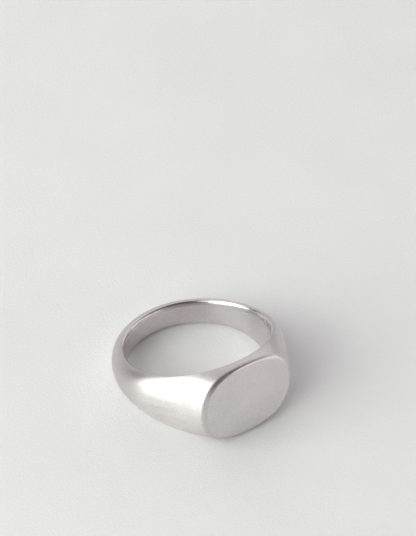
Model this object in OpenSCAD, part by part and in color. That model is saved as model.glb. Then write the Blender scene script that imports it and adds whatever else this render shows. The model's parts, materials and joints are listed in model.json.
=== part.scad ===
// Plain signet ring: a crowned shank, a head with both shoulders, and an oval signet plate, all soldered.
// The ring lies on its side, as it does on a table: +Z is up, the signet faces -Y, and the lowest points
// of the head and of the shank's back touch Z = 0. The finger hole's axis therefore leans off +Z.

/* [Finger hole] */
// Inside diameter of the ring
bore_d = 18.2; // [16:0.1:21]
// Size of the broken edge between the finger hole and the ring's sides
edge_break = 0.25; // [0.1:0.05:0.35]

/* [Signet] */
// Length of the flat face round the finger
face_l = 13.2; // [11:0.1:14]
// Height of the flat face above the finger hole's wall
face_rise = 1.55; // [1.4:0.05:2]
// Thickness of the signet plate
plate_t = 0.8; // [0.5:0.05:0.9]

/* [Band] */
// Width of the head along the finger
head_w = 10.8; // [8:0.1:12]
// Width of the shank at the back of the finger
back_w = 3.6; // [3:0.1:5]
// Wall of the shank at the back of the finger
back_t = 1.7; // [1.3:0.05:2]
// Shift of the band's outer circle towards the signet
hoop_shift = 0.22; // [0:0.02:0.4]
// How early the band narrows on its way from the head to the back
taper = 1.95; // [1.5:0.05:2.5]
// Fullness of the crowned outside at the head, where 2 is an ellipse
crown_head = 1.95; // [1.8:0.05:2.5]
// Fullness of the crowned outside at the back
crown_back = 2.4; // [1.8:0.05:3]

/* [Joints] */
// Angle from the middle of the signet to each joint between head and shank
joint_angle = 75; // [65:1:100]
// Thickness of the solder in every joint
solder_t = 0.05; // [0.03:0.01:0.1]

/* [Hidden] */

bore_r = bore_d / 2;
face_x = bore_r + face_rise;
hoop_r = bore_r + back_t + hoop_shift;
film_angle = solder_t / (bore_r + back_t / 2) * 180 / PI;
head_top_x = face_x - plate_t - solder_t;

// Facets: degrees between sections of the band, and points from a side to the crest of one section
section_step = 3;
crown_steps = 12;
// How far a sector reaches past the finger hole's wall before the hole is cut, in edge breaks
undercut = 3;
// Larger than any part of the ring
big = 60;

// Each shoulder is straight from the end of the face to the outer circle, which it touches at this angle
// about the circle's own centre, and at touch_at about the finger hole's axis.
touch_angle = atan2(face_l / 2, face_x - hoop_shift) + acos(hoop_r / norm([face_x - hoop_shift, face_l / 2]));
touch_at = atan2(hoop_r * sin(touch_angle), hoop_shift + hoop_r * cos(touch_angle));
shoulder_dist = hoop_r + hoop_shift * cos(touch_angle);

// Angles run round the finger hole from the middle of the signet, and are positive towards +X.
function towards_signet(angle) = (1 + cos(angle)) / 2;
function half_w(angle) = (back_w + (head_w - back_w) * pow(towards_signet(angle), taper)) / 2;
function crown(angle) = crown_back + (crown_head - crown_back) * towards_signet(angle);
function crest_r(angle) =
    abs(angle) < touch_at
        ? shoulder_dist / cos(abs(angle) - touch_angle)
        : hoop_shift * cos(angle) + sqrt(pow(hoop_r, 2) - pow(hoop_shift * sin(angle), 2));

// One [radius, height] point of the crowned outside; turn is 0 at the side and 90 at the crest
function crown_point(angle, turn) = [
    bore_r + (crest_r(angle) - bore_r) * pow(sin(turn), 2 / crown(angle)),
    half_w(angle) * pow(cos(turn), 2 / crown(angle))
];
function first_turn(angle) = asin(pow(edge_break / (crest_r(angle) - bore_r), crown(angle) / 2));
function upper_side(angle) = [
    for (i = [0:crown_steps])
        crown_point(angle, first_turn(angle) + (90 - first_turn(angle)) * i / crown_steps)
];
function flip(point) = [point.x, -point.y];

// Height of the ring's side where the flat face cuts it
function face_edge_z(angle) =
    half_w(angle) * pow(
        1 - pow((face_x / cos(angle) - bore_r) / (crest_r(angle) - bore_r), crown(angle)),
        1 / crown(angle)
    );

// Closed outline of the band at one angle, with its inner corners inside the finger hole
function section(angle) =
    let (
        upper = upper_side(angle),
        inner = upper[0] - undercut * edge_break * [1, 1]
    )
    concat(upper, [for (i = [crown_steps - 1:-1:0]) flip(upper[i])], [flip(inner), inner]);

// The ring's outline in its plane of symmetry, as [distance towards the signet, height]
front_upper = concat(
    [for (point = upper_side(0)) if (point.x < face_x) point],
    [[face_x, face_edge_z(0)]]
);
back_upper = [for (point = upper_side(180)) [-point.x, point.y]];

// Heights and places of such points once the signet is lifted by an angle
function lifted_z(point, lift) = point.x * sin(lift) + point.y * cos(lift);
function lifted_y(point, lift) = point.y * sin(lift) - point.x * cos(lift);
function lowest(points, lift) = min([for (point = points) lifted_z(flip(point), lift)]);

// The lift at which head and back stand on one level, found in a few steps
function settled(lift, steps_left) =
    steps_left == 0
        ? lift
        : settled(
            lift + atan((lowest(back_upper, lift) - lowest(front_upper, lift)) / bore_d),
            steps_left - 1
        );
rest_lift = settled(0, 12);
rest_z = -lowest(back_upper, rest_lift);
front_y = lifted_y([face_x, -face_edge_z(0)], rest_lift);
back_y = max([for (point = back_upper) lifted_y(point, rest_lift)]);
rest_y = -(front_y + back_y) / 2;

// From the ring's own frame, with the finger hole along Z, to where it lies
module at_rest() {
    translate([0, rest_y, rest_z]) rotate([-rest_lift, 0, 0]) children();
}

// The band between two angles, before the finger hole and the flat face are cut
module sector(from, to) {
    steps = max(1, ceil((to - from) / section_step));
    outlines = [for (i = [0:steps]) section(from + (to - from) * i / steps)];
    count = len(outlines[0]);
    points = [
        for (i = [0:steps])
            let (angle = from + (to - from) * i / steps)
            for (point = outlines[i])
                [point.x * sin(angle), -point.x * cos(angle), point.y]
    ];
    skin = [
        for (i = [0:steps - 1])
            for (j = [0:count - 1])
                let (
                    here = i * count + j,
                    beside = i * count + (j + 1) % count
                )
                each [[here, here + count, beside], [beside, here + count, beside + count]]
    ];
    start_cap = [for (j = [0:count - 1]) j];
    end_cap = [for (j = [count - 1:-1:0]) steps * count + j];
    polyhedron(points, concat(skin, [start_cap, end_cap]));
}

module finger_hole() {
    cylinder(h = big, r = bore_r, center = true, $fn = 96);
}

module band(from, to) {
    difference() {
        sector(from, to);
        finger_hole();
    }
}

// Everything between two distances from the finger hole's axis towards the signet
module slab(near, far) {
    translate([-big / 2, -far, -big / 2]) cube([big, far - near, big]);
}

module shank() {
    color("silver") at_rest() band(joint_angle + film_angle, 360 - joint_angle - film_angle);
}

module head() {
    color("lightgray") at_rest() intersection() {
        band(-joint_angle, joint_angle);
        slab(-big / 2, head_top_x);
    }
}

module signet_plate() {
    color("darkgray") at_rest() intersection() {
        sector(-joint_angle, joint_angle);
        slab(face_x - plate_t, face_x);
    }
}

module plate_solder() {
    color("whitesmoke") at_rest() intersection() {
        sector(-joint_angle, joint_angle);
        slab(head_top_x, face_x - plate_t);
    }
}

module left_joint_solder() {
    color("whitesmoke") at_rest() band(-joint_angle - film_angle, -joint_angle);
}

module right_joint_solder() {
    color("whitesmoke") at_rest() band(joint_angle, joint_angle + film_angle);
}

shank();
head();
signet_plate();
plate_solder();
left_joint_solder();
right_joint_solder();
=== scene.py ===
"""Looks of a plain satin silver signet ring that lies on its side on a pale floor.

The pieces follow the CAD's shape formulas, with rounded edges, finer meshes and a satin finish.
"""

import json
import math

import bpy
import numpy as np
from mathutils import Matrix, Vector


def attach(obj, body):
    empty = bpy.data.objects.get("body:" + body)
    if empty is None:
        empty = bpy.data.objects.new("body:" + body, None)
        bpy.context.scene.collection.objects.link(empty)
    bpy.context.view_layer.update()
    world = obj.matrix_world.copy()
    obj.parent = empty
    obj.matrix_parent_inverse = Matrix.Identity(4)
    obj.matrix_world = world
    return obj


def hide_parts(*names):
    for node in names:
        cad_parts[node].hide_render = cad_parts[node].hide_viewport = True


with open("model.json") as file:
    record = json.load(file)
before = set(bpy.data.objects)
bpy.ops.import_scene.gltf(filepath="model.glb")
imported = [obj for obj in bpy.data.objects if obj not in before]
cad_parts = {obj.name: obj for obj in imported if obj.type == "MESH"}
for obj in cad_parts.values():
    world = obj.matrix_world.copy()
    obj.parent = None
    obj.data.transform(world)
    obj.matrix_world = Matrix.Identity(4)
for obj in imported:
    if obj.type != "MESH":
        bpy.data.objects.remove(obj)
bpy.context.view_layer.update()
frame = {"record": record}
mounts = {mount["name"]: mount for mount in frame["record"]["mounts"]}

# ---------------------------------------------------------------- the ring's own axes, from the CAD frame
MM = 0.001
HOLE_CENTRE = Vector(mounts["finger_bore"]["pos_m"])
HOLE_AXIS = Vector(mounts["finger_bore"]["axis"]).normalized()
FACE_AXIS = Vector(mounts["signet_face"]["axis"]).normalized()
ACROSS = HOLE_AXIS.cross(FACE_AXIS).normalized()
BORE_R = mounts["finger_bore"]["dims"]["r_mm"]
FACE_F = (Vector(mounts["signet_face"]["pos_m"]) - HOLE_CENTRE).dot(FACE_AXIS) / MM

# ---------------------------------------------------------------- sizes in millimetres, as in the CAD
FACE_L = 13.2
PLATE_T = 0.8
HEAD_W = 10.8
BACK_W = 3.6
BACK_T = 1.7
HOOP_SHIFT = 0.22
TAPER = 1.95
CROWN_HEAD = 1.95
CROWN_BACK = 2.4
JOINT_ANGLE = 75.0
SOLDER_T = 0.05

# The hoop's centre is HOOP_SHIFT from the hole's, towards the signet. A straight shoulder runs from the
# end of the face, at CORNER from the hoop's centre, and touches the hoop. TOUCH is the angle of that
# point about the hoop's centre, and TOUCH_AT about the hole's.
HOOP_R = BORE_R + BACK_T + HOOP_SHIFT
FILM_ANGLE = math.degrees(SOLDER_T / (BORE_R + BACK_T / 2))
PLATE_BACK_F = FACE_F - PLATE_T
HEAD_TOP_F = PLATE_BACK_F - SOLDER_T
CORNER = math.hypot(FACE_F - HOOP_SHIFT, FACE_L / 2)
TOUCH = math.atan2(FACE_L / 2, FACE_F - HOOP_SHIFT) + math.acos(HOOP_R / CORNER)
TOUCH_AT = math.atan2(HOOP_R * math.sin(TOUCH), HOOP_SHIFT + HOOP_R * math.cos(TOUCH))
SHOULDER_DIST = HOOP_R + HOOP_SHIFT * math.cos(TOUCH)

# The rounded edges that only the Blender pieces have, also in millimetres.
BORE_EDGE_DEEP = 1.1
BORE_EDGE_WIDE = 0.45
FACE_EDGE_R = 0.52

# How finely the shapes are worked out.
TINY = 1e-9
SLOPE_STEP = 1e-4
SETTLE_STEPS = 8
HALVINGS = 60


# ---------------------------------------------------------------- the ring's surface
# A local point is (f, x, z) in millimetres: towards the signet, across, and along the finger hole.
# An angle runs round the finger hole from the middle of the signet, in radians, positive towards +X.

def half_width(angle):
    return (BACK_W + (HEAD_W - BACK_W) * ((1 + np.cos(angle)) / 2) ** TAPER) / 2


def crown(angle):
    """The power of the band's superellipse section."""
    return CROWN_BACK + (CROWN_HEAD - CROWN_BACK) * (1 + np.cos(angle)) / 2


def crest_r(angle):
    """Distance of the crest from the finger hole's axis: straight shoulders, then the round hoop."""
    turned = np.abs(angle)
    shoulder = SHOULDER_DIST / np.cos(np.minimum(turned, TOUCH_AT) - TOUCH)
    hoop = HOOP_SHIFT * np.cos(turned) + np.sqrt(HOOP_R ** 2 - (HOOP_SHIFT * np.sin(turned)) ** 2)
    return np.where(turned < TOUCH_AT, shoulder, hoop)


def crown_level(points):
    """Zero on the crowned outside, negative inside it."""
    f, x, z = points.T
    angle = np.arctan2(x, f)
    radius = np.hypot(f, x)
    power = crown(angle)
    rise = np.maximum(radius - BORE_R, 0) / (crest_r(angle) - BORE_R)
    return (np.abs(z) / half_width(angle)) ** power + rise ** power - 1


def crown_distance(points):
    """Rough distance to the crowned outside, and its outward direction."""
    slope = np.empty_like(points)
    for i in range(3):
        shift = np.zeros(3)
        shift[i] = SLOPE_STEP
        slope[:, i] = (crown_level(points + shift) - crown_level(points - shift)) / (2 * SLOPE_STEP)
    size = np.maximum(np.linalg.norm(slope, axis=1), TINY)
    return crown_level(points) / size, slope / size[:, None]


def rounded_join(a, normal_a, below_a, b, normal_b, below_b):
    """Distance to the space inside two surfaces, from the distances a and b to each of them.

    Their edge is rounded: it starts below_a under the first surface and below_b under the second.
    """
    u = np.maximum(below_a + a, 0) / below_a
    v = np.maximum(below_b + b, 0) / below_b
    length = np.hypot(u, v)
    slope = (u / below_a)[:, None] * normal_a + (v / below_b)[:, None] * normal_b
    size = np.maximum(np.linalg.norm(slope, axis=1), TINY)
    rounded = (u > 0) & (v > 0)
    distance = np.where(rounded, (length - 1) * length / size, np.maximum(a, b))
    nearer = np.where((a > b)[:, None], normal_a, normal_b)
    return distance, np.where(rounded[:, None], slope / size[:, None], nearer)


def ring_distance(points):
    """Distance to the whole finished ring, and the outward direction there."""
    radius = np.hypot(points[:, 0], points[:, 1])
    level, normal = crown_distance(points)
    to_face = points[:, 0] - FACE_F
    face_normal = np.tile([1.0, 0.0, 0.0], (len(points), 1))
    level, normal = rounded_join(level, normal, FACE_EDGE_R, to_face, face_normal, FACE_EDGE_R)
    hole_normal = np.stack([-points[:, 0] / radius, -points[:, 1] / radius, np.zeros(len(points))], axis=1)
    return rounded_join(level, normal, BORE_EDGE_DEEP, BORE_R - radius, hole_normal, BORE_EDGE_WIDE)


def settle(points, keep):
    """Moves sharp-edged points onto the rounded ring, square to the directions in keep."""
    points = points.copy()
    for _ in range(SETTLE_STEPS):
        distance, normal = ring_distance(points)
        way = normal - (normal * keep).sum(1)[:, None] * keep
        points -= (distance / (normal * way).sum(1))[:, None] * way
    return points, ring_distance(points)[1]


# ---------------------------------------------------------------- where each finish lies
WEAR_FADE = 1 - math.sqrt(0.5)
FACE_FADE_POWER = 3


def edge_wear(points):
    """How much of the bore's rounded edge each point is on, from 0 on the plain surfaces to 1."""
    outside, _ = crown_distance(points)
    to_bore = BORE_R - np.hypot(points[:, 0], points[:, 1])
    share = np.minimum(outside / BORE_EDGE_DEEP, to_bore / BORE_EDGE_WIDE) + 1
    return np.clip(share / WEAR_FADE, 0, 1)


def bore_share(points):
    """1 on the wall of the finger hole, falling to 0 over its rounded edge."""
    radius = np.hypot(points[:, 0], points[:, 1])
    return np.clip(1 - (radius - BORE_R) / BORE_EDGE_WIDE, 0, 1)


def face_share(points):
    """1 on the flat face of the signet, falling fast to 0 over its rounded edge."""
    return np.clip(1 + (points[:, 0] - FACE_F) / FACE_EDGE_R, 0, 1) ** FACE_FADE_POWER


# ---------------------------------------------------------------- meshes
# Steps and loops of points in each direction. Crowding above 1 draws points towards an edge.
SECTION_STEPS = 44
BORE_STEPS = 24
CUT_STEPS = 56
SHOULDER_STEPS = 41
SHANK_SECTIONS = 211
SIDE_LOOPS = 15
FACE_LOOPS = 14
FACE_REACH = 0.7
CORE_SHARES = [0.25, 0.5, 0.75]
RAY_LIMIT = 12.0
EDGE_CROWDING = 1.4
FACE_CROWDING = 1.3


def section(angle, end_turn):
    """One closed outline of the band at an angle, and the outward directions of its points.

    It runs from the upper bore edge over the outside to the lower one, and back along the bore. The
    outside turns a quarter from each bore edge to the crest, or less, to end_turn, where it is cut flat.
    """
    turn = end_turn * np.linspace(0, 1, SECTION_STEPS + 1) ** EDGE_CROWDING
    power = crown(angle)
    radius = BORE_R + (crest_r(angle) - BORE_R) * np.sin(turn) ** (2 / power)
    height = half_width(angle) * np.cos(turn) ** (2 / power)
    upper = np.stack([radius, height], axis=1)
    if end_turn == math.pi / 2:
        upper[-1, 1] = 0
        lower = upper[-2::-1] * [1, -1]
    else:
        lower = upper[::-1] * [1, -1]
    side = half_width(angle)
    depth = side * (1 - np.cos(np.linspace(0, math.pi, BORE_STEPS + 1)[1:-1]))
    wall = np.stack([np.full(BORE_STEPS - 1, BORE_R), depth - side], axis=1)
    outline = np.concatenate([upper, lower, wall])
    points = np.stack([
        outline[:, 0] * math.cos(angle),
        outline[:, 0] * math.sin(angle),
        outline[:, 1],
    ], axis=1)
    keep = np.tile([-math.sin(angle), math.cos(angle), 0.0], (len(points), 1))
    return settle(points, keep)


def local_axes():
    return np.array([FACE_AXIS, ACROSS, HOLE_AXIS])


def to_world(points):
    return (points * MM) @ local_axes() + np.array(HOLE_CENTRE)


def make_piece(name, points, normals, faces, flat_from, node, material):
    """A mesh piece with the surface's own normals. Faces from flat_from on are flat and hidden."""
    mesh = bpy.data.meshes.new(name)
    mesh.from_pydata([tuple(point) for point in to_world(points)], [], faces)
    mesh.validate()
    outward = normals @ local_axes()
    around = np.stack([-points[:, 1], points[:, 0], np.zeros(len(points))], axis=1)
    across = np.cross(normals, around) @ local_axes()
    across /= np.maximum(np.linalg.norm(across, axis=1), TINY)[:, None]
    mesh.polygons.foreach_set("use_smooth", [True] * len(mesh.polygons))
    mesh.update()
    split = []
    for polygon in mesh.polygons:
        for vertex in polygon.vertices:
            if polygon.index < flat_from:
                split.append(tuple(outward[vertex]))
            else:
                split.append(tuple(polygon.normal))
    mesh.normals_split_custom_set(split)
    mesh.attributes.new("across_grain", "FLOAT_VECTOR", "POINT").data.foreach_set("vector", across.ravel())
    shares = {"edge_wear": edge_wear, "signet_face": face_share, "bore_wall": bore_share}
    for label, share in shares.items():
        mesh.attributes.new(label, "FLOAT", "POINT").data.foreach_set("value", share(points))
    piece = bpy.data.objects.new(name, mesh)
    bpy.context.scene.collection.objects.link(piece)
    mesh.materials.append(material)
    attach(piece, "root")
    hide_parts(node)
    return piece


def loop_strip(first, second):
    """Faces between two closed loops of point numbers, without the corners that meet in one point."""
    count = len(first)
    faces = []
    for i in range(count):
        j = (i + 1) % count
        faces.append(tuple(dict.fromkeys([first[i], first[j], second[j], second[i]])))
    return faces


def band(name, angles, node, material):
    """A piece of the plain band between its first and last angle."""
    sections = [section(angle, math.pi / 2) for angle in angles]
    points = np.concatenate([outline for outline, _ in sections])
    normals = np.concatenate([outward for _, outward in sections])
    count = len(sections[0][0])
    rows = [list(range(i * count, (i + 1) * count)) for i in range(len(angles))]
    faces = []
    for first, second in zip(rows, rows[1:]):
        faces += loop_strip(first, second)
    flat_from = len(faces)
    faces.append(tuple(reversed(rows[0])))
    faces.append(tuple(rows[-1]))
    return make_piece(name, points, normals, faces, flat_from, node, material)


def cut_turn(angle, plane_f):
    """The turn at which a section meets a plane across the signet, or a quarter turn if it doesn't."""
    rise = (plane_f / math.cos(angle) - BORE_R) / float(crest_r(angle) - BORE_R)
    if rise >= 1 - TINY:
        return math.pi / 2
    return math.asin(rise ** (crown(angle) / 2))


def cut_end(plane_f):
    """The angle at which a plane across the signet leaves the crest."""
    low, high = 0.0, TOUCH_AT
    for _ in range(HALVINGS):
        middle = (low + high) / 2
        if float(crest_r(middle)) * math.cos(middle) > plane_f:
            low = middle
        else:
            high = middle
    return low


def over_angles(end):
    """Angles from the middle of the signet to the end of the head's cut, closer together near its end."""
    return [end * math.sin(math.pi / 2 * i / CUT_STEPS) for i in range(CUT_STEPS + 1)]


def head(name, node, material):
    """The thick front of the ring, cut flat where the signet plate is soldered on."""
    end = cut_end(HEAD_TOP_F)
    half = over_angles(end) + list(np.linspace(end, math.radians(JOINT_ANGLE), SHOULDER_STEPS + 1)[1:])
    points, normals, rows = [], [], []
    start = 0
    for angle in [-turned for turned in reversed(half[1:])] + half:
        open_top = abs(angle) < end - TINY
        outline, outward = section(angle, cut_turn(angle, HEAD_TOP_F) if open_top else math.pi / 2)
        points.append(outline)
        normals.append(outward)
        row = list(range(start, start + len(outline)))
        start += len(outline)
        if not open_top:
            row.insert(SECTION_STEPS, row[SECTION_STEPS])
        rows.append(row)
    faces, flat = [], []
    for first, second in zip(rows, rows[1:]):
        strip = loop_strip(first, second)
        flat.append(strip.pop(SECTION_STEPS))
        faces += strip
    flat_from = len(faces)
    faces += [face for face in flat if len(face) > 2]
    faces.append(tuple(reversed(list(dict.fromkeys(rows[0])))))
    faces.append(tuple(dict.fromkeys(rows[-1])))
    points = np.concatenate(points)
    normals = np.concatenate(normals)
    return make_piece(name, points, normals, faces, flat_from, node, material)


def plate_rays():
    """Angles in the face's plane, from +Z past +X and right round, to where the head's sections end."""
    end = cut_end(HEAD_TOP_F)
    quarter = []
    for angle in over_angles(end)[:-1]:
        power = float(crown(angle))
        height = float(half_width(angle)) * math.cos(cut_turn(angle, HEAD_TOP_F)) ** (2 / power)
        quarter.append(math.atan2(height, HEAD_TOP_F * math.tan(angle)))
    right = quarter + [0] + [-ray for ray in reversed(quarter)]
    left = [math.pi - ray for ray in reversed(right)]
    return np.array(right + left[1:-1])


def in_plane(rays, length, plane_f):
    """Points at the given length along each ray of one plane across the signet."""
    return np.stack([np.full(len(rays), plane_f), length * np.cos(rays), length * np.sin(rays)], axis=1)


def ray_length(rays, plane_f):
    """How far from its middle the ring's crowned outside lies along each ray of one plane."""
    low = np.zeros(len(rays))
    high = np.full(len(rays), RAY_LIMIT)
    for _ in range(HALVINGS):
        middle = (low + high) / 2
        inside = crown_level(in_plane(rays, middle, plane_f)) < 0
        low = np.where(inside, middle, low)
        high = np.where(inside, high, middle)
    return low


def plate(name, low_f, high_f, levels, is_face, node, material):
    """An oval disc of the ring between two planes, with the rounded edge of the face if it is on top."""
    rays = plate_rays()
    count = len(rays)
    loops = []

    def loop(length, plane_f):
        loops.append(in_plane(rays, length, plane_f))

    bottom = ray_length(rays, low_f)
    for share in CORE_SHARES:
        loop(bottom * share, low_f)
    for share in levels:
        plane_f = low_f + (high_f - low_f) * share
        loop(ray_length(rays, plane_f), plane_f)
    top = ray_length(rays, high_f)
    if is_face:
        for share in np.linspace(0, 1, FACE_LOOPS + 1)[1:]:
            loop(top - share ** FACE_CROWDING * FACE_REACH, high_f)
        top = top - FACE_REACH
    for share in reversed(CORE_SHARES):
        loop(top * share, high_f)

    core = len(CORE_SHARES)
    points = np.concatenate(loops)
    directions = np.tile(rays, len(loops))
    keep = np.stack([np.zeros(len(points)), -np.sin(directions), np.cos(directions)], axis=1)
    flat_bottom = core * count
    flat_top = len(points) if is_face else len(points) - core * count
    side, side_normals = settle(points[flat_bottom:flat_top], keep[flat_bottom:flat_top])
    points = np.concatenate([points[:flat_bottom], side, points[flat_top:]])
    down = np.tile([-1.0, 0.0, 0.0], (flat_bottom, 1))
    up = np.tile([1.0, 0.0, 0.0], (len(points) - flat_top, 1))
    normals = np.concatenate([down, side_normals, up])

    rows = [list(range(i * count, (i + 1) * count)) for i in range(len(loops))]
    shown, flat = [], []
    for i, (first, second) in enumerate(zip(rows, rows[1:])):
        on_side = i >= core and (is_face or i < len(rows) - core - 1)
        (shown if on_side else flat).extend(loop_strip(second, first))
    (shown if is_face else flat).append(tuple(reversed(rows[-1])))
    flat.append(tuple(rows[0]))
    return make_piece(name, points, normals, shown + flat, len(shown), node, material)


# ---------------------------------------------------------------- materials
class Nodes:
    """Short ways to add the nodes of one material."""

    def __init__(self, material):
        material.use_nodes = True
        self.tree = material.node_tree
        self.shader = self.tree.nodes["Principled BSDF"]

    def put(self, socket, value):
        if isinstance(value, bpy.types.NodeSocket):
            self.tree.links.new(value, socket)
        else:
            socket.default_value = value

    def math(self, operation, *values):
        node = self.tree.nodes.new("ShaderNodeMath")
        node.operation = operation
        for socket, value in zip(node.inputs, values):
            self.put(socket, value)
        return node.outputs[0]

    def vector_math(self, operation, vector, other):
        node = self.tree.nodes.new("ShaderNodeVectorMath")
        node.operation = operation
        self.put(node.inputs[0], vector)
        node.inputs[1].default_value = other
        return node.outputs["Value" if operation == "DOT_PRODUCT" else "Vector"]

    def place(self):
        return self.tree.nodes.new("ShaderNodeTexCoord").outputs["Object"]

    def join(self, x, y, z):
        node = self.tree.nodes.new("ShaderNodeCombineXYZ")
        for socket, value in zip(node.inputs, (x, y, z)):
            self.put(socket, value)
        return node.outputs[0]

    def attribute(self, name, output="Fac"):
        node = self.tree.nodes.new("ShaderNodeAttribute")
        node.attribute_name = name
        return node.outputs[output]

    def noise(self, vector, size_mm, detail=2.0, roughness=0.5):
        node = self.tree.nodes.new("ShaderNodeTexNoise")
        self.put(node.inputs["Vector"], vector)
        node.inputs["Scale"].default_value = 1 / (size_mm * MM)
        node.inputs["Detail"].default_value = detail
        node.inputs["Roughness"].default_value = roughness
        return node.outputs["Fac"]

    def spread(self, value, low, high, clear_low=0.3, clear_high=0.7):
        """A noise value turned into low to high. Noise seldom leaves clear_low to clear_high."""
        node = self.tree.nodes.new("ShaderNodeMapRange")
        self.put(node.inputs["Value"], value)
        node.inputs["From Min"].default_value = clear_low
        node.inputs["From Max"].default_value = clear_high
        self.put(node.inputs["To Min"], low)
        self.put(node.inputs["To Max"], high)
        return node.outputs["Result"]

    def blend(self, share, plain, full):
        """From plain where the share is 0 to full where it is 1."""
        return self.spread(share, plain, full, 0.0, 1.0)

    def tint(self, value, dark, light):
        """A colour between dark at 0 and light at 1."""
        node = self.tree.nodes.new("ShaderNodeMix")
        node.data_type = "RGBA"
        colour_a, colour_b = node.inputs[6], node.inputs[7]
        colour_result = node.outputs[2]
        self.put(node.inputs["Factor"], value)
        colour_a.default_value = (*dark, 1)
        colour_b.default_value = (*light, 1)
        return colour_result

    def bump(self, height, height_mm, strength, before=None):
        node = self.tree.nodes.new("ShaderNodeBump")
        self.put(node.inputs["Height"], height)
        node.inputs["Distance"].default_value = height_mm * MM
        self.put(node.inputs["Strength"], strength)
        if before is not None:
            self.put(node.inputs["Normal"], before)
        return node.outputs["Normal"]


# Widths and heights of the finish are in millimetres, and the shares of each tone add up to 1.
GRAIN_STRETCH = 0.06
GRAIN_SPREAD = 0.85
GRAIN_W = 0.08
BROAD_GRAIN_W = 0.40
GRAIN_H = 0.0050
SPECKLE = 0.19
SPECKLE_H = 0.024
CLOUD = 3.0
SMOOTH_DEPTH = 0.15
CLOUD_SHARE = 0.2
SPECKLE_SHARE = 0.6
GRAIN_SHARE = 0.2

SATIN = 0.37
CLOUD_SATIN = 0.02
GRAIN_SATIN = 0.03
FACE_SATIN = 0.23
EDGE_POLISH = 0.24
BORE_POLISH = 0.30

SILVER = ((0.60, 0.564, 0.56), (0.785, 0.738, 0.733))
SOLDER = ((0.565, 0.532, 0.508), (0.75, 0.708, 0.682))

PAPER = ((0.830, 0.818, 0.820), (0.899, 0.886, 0.888))
PAPER_GRAIN = 0.30
PAPER_GRAIN_H = 0.045
PAPER_CLOUD = 14.0
PAPER_GRAIN_SHARE = 0.6
PAPER_CLOUD_SHARE = 0.4
PAPER_ROUGH = (0.85, 0.95)
PAPER_SHINE = 0.1


def satin_silver(name, tones, from_back):
    """Silver with a fine satin grain that runs round the ring.

    Angles start at the signet, or at the back with from_back, so that their jump lies off the piece.
    """
    material = bpy.data.materials.new(name)
    nodes = Nodes(material)
    shader = nodes.shader
    place = nodes.vector_math("SUBTRACT", nodes.place(), HOLE_CENTRE)
    forward = nodes.vector_math("DOT_PRODUCT", place, -FACE_AXIS if from_back else FACE_AXIS)
    sideways = nodes.vector_math("DOT_PRODUCT", place, ACROSS)
    along_hole = nodes.vector_math("DOT_PRODUCT", place, HOLE_AXIS)
    squares = nodes.math("ADD", nodes.math("POWER", forward, 2.0), nodes.math("POWER", sideways, 2.0))
    radius = nodes.math("SQRT", squares)
    arc = nodes.math("MULTIPLY", nodes.math("ARCTAN2", sideways, forward), BORE_R * MM)
    lines = nodes.join(nodes.math("MULTIPLY", arc, GRAIN_STRETCH), along_hole, radius)

    fine = nodes.noise(lines, GRAIN_W)
    broad = nodes.noise(lines, BROAD_GRAIN_W, detail=1.0)
    speckle = nodes.noise(place, SPECKLE)
    cloud = nodes.noise(place, CLOUD)

    tone = nodes.math(
        "ADD",
        nodes.spread(cloud, 0.0, CLOUD_SHARE),
        nodes.spread(speckle, 0.0, SPECKLE_SHARE),
    )
    tone = nodes.math("ADD", tone, nodes.spread(fine, 0.0, GRAIN_SHARE))
    nodes.put(shader.inputs["Base Color"], nodes.tint(tone, *tones))
    shader.inputs["Metallic"].default_value = 1
    shader.inputs["Anisotropic"].default_value = GRAIN_SPREAD
    nodes.put(shader.inputs["Tangent"], nodes.attribute("across_grain", "Vector"))

    rough = nodes.math(
        "ADD",
        nodes.spread(cloud, -CLOUD_SATIN, CLOUD_SATIN),
        nodes.spread(broad, SATIN - GRAIN_SATIN, SATIN + GRAIN_SATIN),
    )
    rough = nodes.blend(nodes.attribute("bore_wall"), rough, BORE_POLISH)
    rough = nodes.blend(nodes.attribute("edge_wear"), rough, EDGE_POLISH)
    rough = nodes.blend(nodes.attribute("signet_face"), rough, FACE_SATIN)
    nodes.put(shader.inputs["Roughness"], rough)

    smooth = nodes.math("MAXIMUM", nodes.attribute("bore_wall"), nodes.attribute("signet_face"))
    depth = nodes.blend(smooth, 1.0, SMOOTH_DEPTH)
    grain = nodes.bump(fine, GRAIN_H, depth)
    nodes.put(shader.inputs["Normal"], nodes.bump(speckle, SPECKLE_H, depth, grain))
    return material


def pale_paper(name, tones):
    """Matt paper with a fine tooth and faint clouds."""
    material = bpy.data.materials.new(name)
    nodes = Nodes(material)
    shader = nodes.shader
    place = nodes.place()
    grain = nodes.noise(place, PAPER_GRAIN, detail=3.0, roughness=0.6)
    cloud = nodes.noise(place, PAPER_CLOUD)
    tone = nodes.math(
        "ADD",
        nodes.spread(grain, 0.0, PAPER_GRAIN_SHARE),
        nodes.spread(cloud, 0.0, PAPER_CLOUD_SHARE),
    )
    nodes.put(shader.inputs["Base Color"], nodes.tint(tone, *tones))
    nodes.put(shader.inputs["Roughness"], nodes.spread(grain, *PAPER_ROUGH))
    nodes.put(shader.inputs["Normal"], nodes.bump(grain, PAPER_GRAIN_H, 1.0))
    shader.inputs["Specular IOR Level"].default_value = PAPER_SHINE
    return material


shank_silver = satin_silver("shank_silver", SILVER, True)
head_silver = satin_silver("head_silver", SILVER, False)
plate_silver = satin_silver("plate_silver", SILVER, False)
solder_silver = satin_silver("silver_solder", SOLDER, False)

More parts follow.
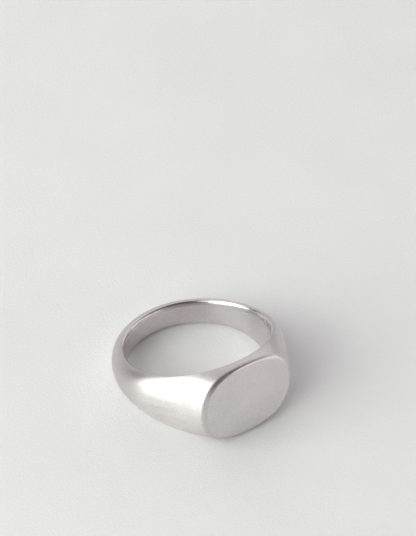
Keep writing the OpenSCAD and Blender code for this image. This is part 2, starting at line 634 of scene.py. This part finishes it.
# ---------------------------------------------------------------- pieces
joint = math.radians(JOINT_ANGLE)
film = math.radians(FILM_ANGLE)
shank_angles = np.linspace(joint + film, 2 * math.pi - joint - film, SHANK_SECTIONS)
band("shank_metal", shank_angles, "shank", shank_silver)
band("right_solder_seam", [joint, joint + film], "right_joint_solder", solder_silver)
band("left_solder_seam", [-joint - film, -joint], "left_joint_solder", solder_silver)
head("head_metal", "head", head_silver)
plate(
    "plate_solder_seam", HEAD_TOP_F, PLATE_BACK_F, [0, 0.5, 1], False,
    "plate_solder", solder_silver,
)
plate(
    "signet_plate_metal", PLATE_BACK_F, FACE_F, 1 - np.linspace(1, 0, SIDE_LOOPS) ** EDGE_CROWDING, True,
    "signet_plate", plate_silver,
)

# ---------------------------------------------------------------- floor
FLOOR_HALF = 1.5

floor_corners = [(-1, -1), (1, -1), (1, 1), (-1, 1)]
floor_mesh = bpy.data.meshes.new("floor")
floor_mesh.from_pydata([(x * FLOOR_HALF, y * FLOOR_HALF, 0) for x, y in floor_corners], [], [(0, 1, 2, 3)])
floor_mesh.materials.append(pale_paper("pale_paper", PAPER))
floor = bpy.data.objects.new("floor", floor_mesh)
bpy.context.scene.collection.objects.link(floor)

# ---------------------------------------------------------------- camera
# The camera looks along back_way, turned by the roll, and moved so that the finger hole's centre lies
# RING_RIGHT and RING_UP from the middle of the picture.
VIEW_AZIMUTH = -39.5
VIEW_ELEVATION = 44.9
VIEW_ROLL = math.radians(5.9)
VIEW_DISTANCE = 0.390
LENS_MM = 208
RING_RIGHT = -1.24 * MM
RING_UP = -11.15 * MM


def look_way(azimuth, elevation):
    """Direction from the ring. Azimuth 0 is in front of the signet and 90 to its right, in degrees."""
    a = math.radians(azimuth)
    e = math.radians(elevation)
    return Vector((math.sin(a) * math.cos(e), -math.cos(a) * math.cos(e), math.sin(e)))


back_way = look_way(VIEW_AZIMUTH, VIEW_ELEVATION)
level_right = look_way(VIEW_AZIMUTH + 90, 0)
level_up = back_way.cross(level_right)
right_way = level_right * math.cos(VIEW_ROLL) + level_up * math.sin(VIEW_ROLL)
up_way = back_way.cross(right_way)
camera_data = bpy.data.cameras.new("camera")
camera_data.lens = LENS_MM
camera_data.clip_start = 0.01
camera_data.clip_end = 10
camera = bpy.data.objects.new("camera", camera_data)
bpy.context.scene.collection.objects.link(camera)
camera_place = HOLE_CENTRE + back_way * VIEW_DISTANCE - right_way * RING_RIGHT - up_way * RING_UP
camera_turn = Matrix((right_way, up_way, back_way)).transposed().to_4x4()
camera.matrix_world = Matrix.Translation(camera_place) @ camera_turn
bpy.context.scene.camera = camera

# ---------------------------------------------------------------- light
LIGHT_DISTANCE = 0.8
WHITE = (1, 1, 1)
KEY_COLOUR = (0.94, 1, 0.952)
FILL = (1, 0.965, 0.99)

# Name, azimuth, elevation, width and height in degrees, brightness, colour.
SOFTBOXES = [
    ("key", -94, 22, 62, 34, 4.7, KEY_COLOUR),
    ("key_top", -90, 51, 60, 22, 1.95, KEY_COLOUR),
    ("front_card", -34, 8, 34, 14, 1.08, WHITE),
    ("front_fill", 2, 21, 34, 26, 0.27, WHITE),
    ("table_card", 49, 13, 60, 24, 1.38, WHITE),
    ("right_fill", 105, 20, 36, 24, 0.55, FILL),
    ("back_fill", 150, 38, 58, 28, 0.87, FILL),
    ("back_left", -142, 28, 26, 22, 0.4, FILL),
    ("back_low", 172, 7, 60, 13, 0.45, FILL),
    ("overhead", 160, 70, 80, 36, 0.55, FILL),
]


def softbox(name, azimuth, elevation, width, height, brightness, colour):
    """A rectangular light that looks at the ring and covers width by height degrees as seen from it."""
    data = bpy.data.lights.new(name, "AREA")
    data.shape = "RECTANGLE"
    data.size = 2 * LIGHT_DISTANCE * math.tan(math.radians(width / 2))
    data.size_y = 2 * LIGHT_DISTANCE * math.tan(math.radians(height / 2))
    data.energy = brightness * math.pi * data.size * data.size_y
    data.color = colour
    light = bpy.data.objects.new(name, data)
    bpy.context.scene.collection.objects.link(light)
    way = look_way(azimuth, elevation)
    light.location = HOLE_CENTRE + way * LIGHT_DISTANCE
    light.rotation_mode = "QUATERNION"
    light.rotation_quaternion = way.to_track_quat("Z", "Y")
    light.visible_camera = False


for settings in SOFTBOXES:
    softbox(*settings)

# ---------------------------------------------------------------- a dim room, darkest behind the camera
# How far a direction points along DARK_WAY, from 1 to -1, sets the room's brightness there.
DARK_WAY = look_way(-40, 0)
DARK_FROM = 0.5
LIGHT_FROM = -0.7
ROOM_DARK = 0.04
ROOM_LIGHT = 0.30

world = bpy.data.worlds.new("studio")
bpy.context.scene.world = world
world.use_nodes = True
room = world.node_tree
background = room.nodes["Background"]
background.inputs["Color"].default_value = (*FILL, 1)
directions = room.nodes.new("ShaderNodeTexCoord")
facing = room.nodes.new("ShaderNodeVectorMath")
facing.operation = "DOT_PRODUCT"
facing.inputs[1].default_value = DARK_WAY
room.links.new(directions.outputs["Generated"], facing.inputs[0])
falloff = room.nodes.new("ShaderNodeMapRange")
falloff.inputs["From Min"].default_value = DARK_FROM
falloff.inputs["From Max"].default_value = LIGHT_FROM
falloff.inputs["To Min"].default_value = ROOM_DARK
falloff.inputs["To Max"].default_value = ROOM_LIGHT
room.links.new(facing.outputs["Value"], falloff.inputs["Value"])
room.links.new(falloff.outputs["Result"], background.inputs["Strength"])
bpy.context.scene.view_settings.view_transform = "Standard"
